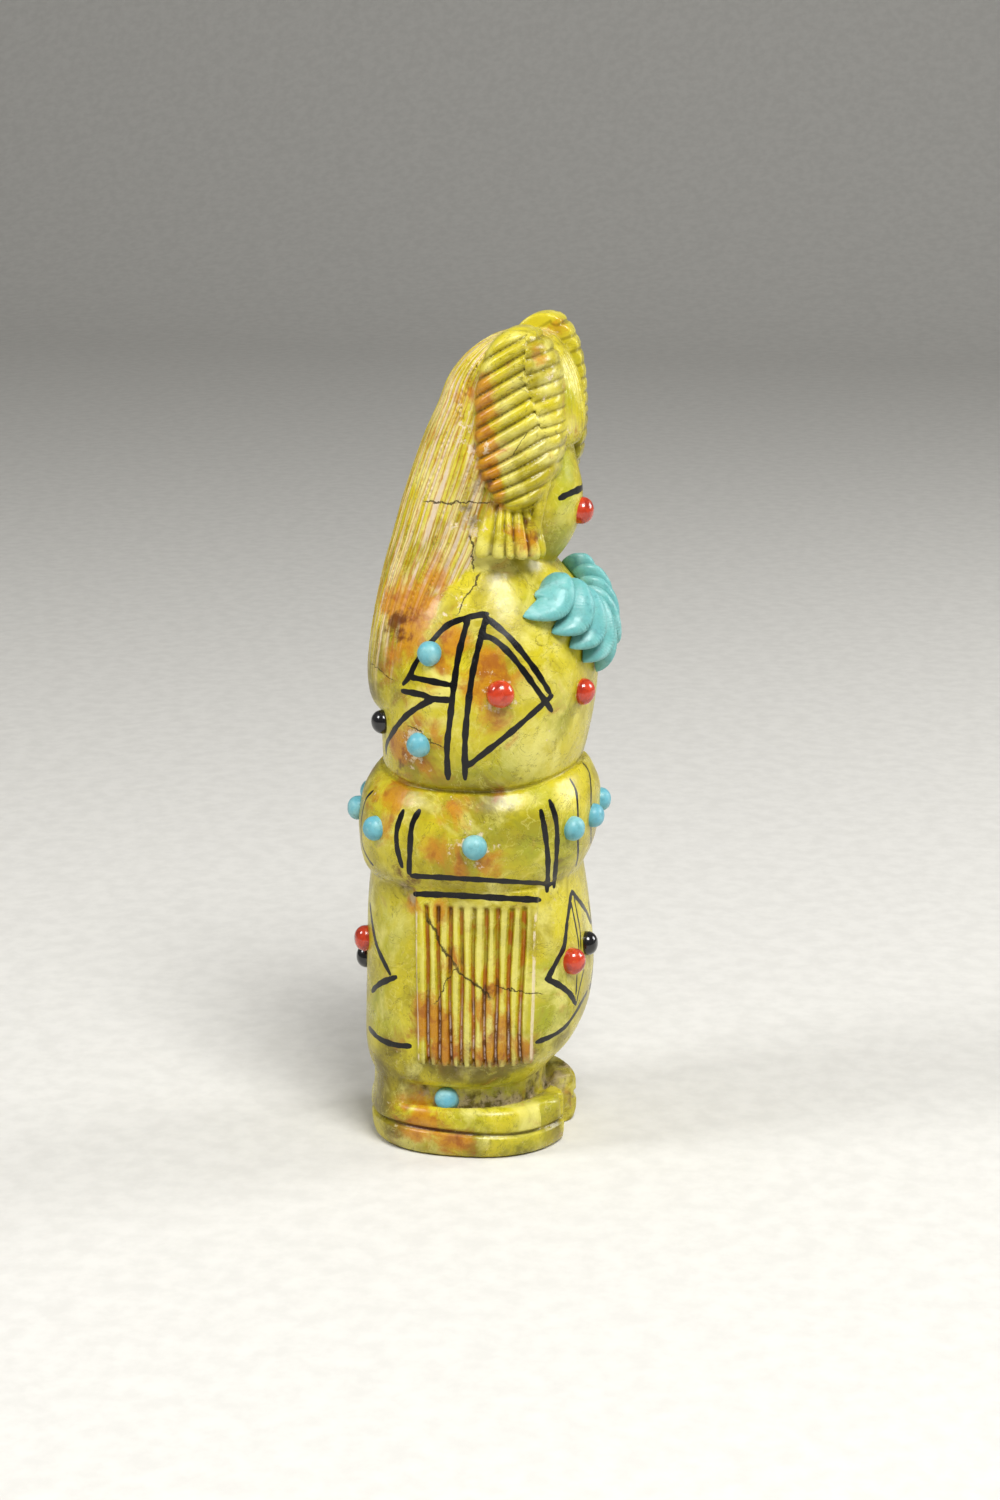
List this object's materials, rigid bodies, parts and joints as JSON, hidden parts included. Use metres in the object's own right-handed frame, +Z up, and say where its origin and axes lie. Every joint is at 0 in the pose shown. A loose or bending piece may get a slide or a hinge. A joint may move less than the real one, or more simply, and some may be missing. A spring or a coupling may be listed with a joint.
{
  "type": "carved stone figure",
  "caption": "Small standing stone figure of a maiden with hair whorls, long grooved hair, a fringed skirt, inlaid beads and a petal necklace.",
  "frame": {"origin": "middle of the flat underside of the feet, on the surface the figure stands on", "axes": "+Z up along the height, the figure faces -Y, and its right side is towards -X"},
  "size_m": [0.0328, 0.0317, 0.0998],
  "materials": {
    "stone": "polished yellow-green serpentine with rust patches and pale chalky grooves",
    "turquoise": "smooth turquoise, softly polished",
    "coral": "polished red coral",
    "jet": "polished black jet"
  },
  "bodies": {
    "root": {"stone_figure": "stone", "turquoise_necklace": "turquoise", "coral_bead_mouth": "coral", "coral_bead_chest": "coral", "coral_bead_sleeve_right": "coral", "turquoise_bead_sleeve_right_upper": "turquoise", "turquoise_bead_sleeve_right_lower": "turquoise", "coral_bead_sleeve_left": "coral", "turquoise_bead_sleeve_left_upper": "turquoise", "turquoise_bead_sleeve_left_lower": "turquoise", "jet_bead_back": "jet", "turquoise_bead_belt_front_right": "turquoise", "turquoise_bead_belt_front": "turquoise", "turquoise_bead_belt_front_left": "turquoise", "turquoise_bead_belt_right": "turquoise", "turquoise_bead_belt_left": "turquoise", "turquoise_bead_belt_back_right": "turquoise", "turquoise_bead_belt_back": "turquoise", "turquoise_bead_belt_back_left": "turquoise", "coral_bead_skirt_front_right": "coral", "jet_bead_skirt_front": "jet", "coral_bead_skirt_back": "coral", "jet_bead_skirt_back_left": "jet", "turquoise_bead_foot_right": "turquoise", "turquoise_bead_foot_left": "turquoise"}
  },
  "joints": []
}
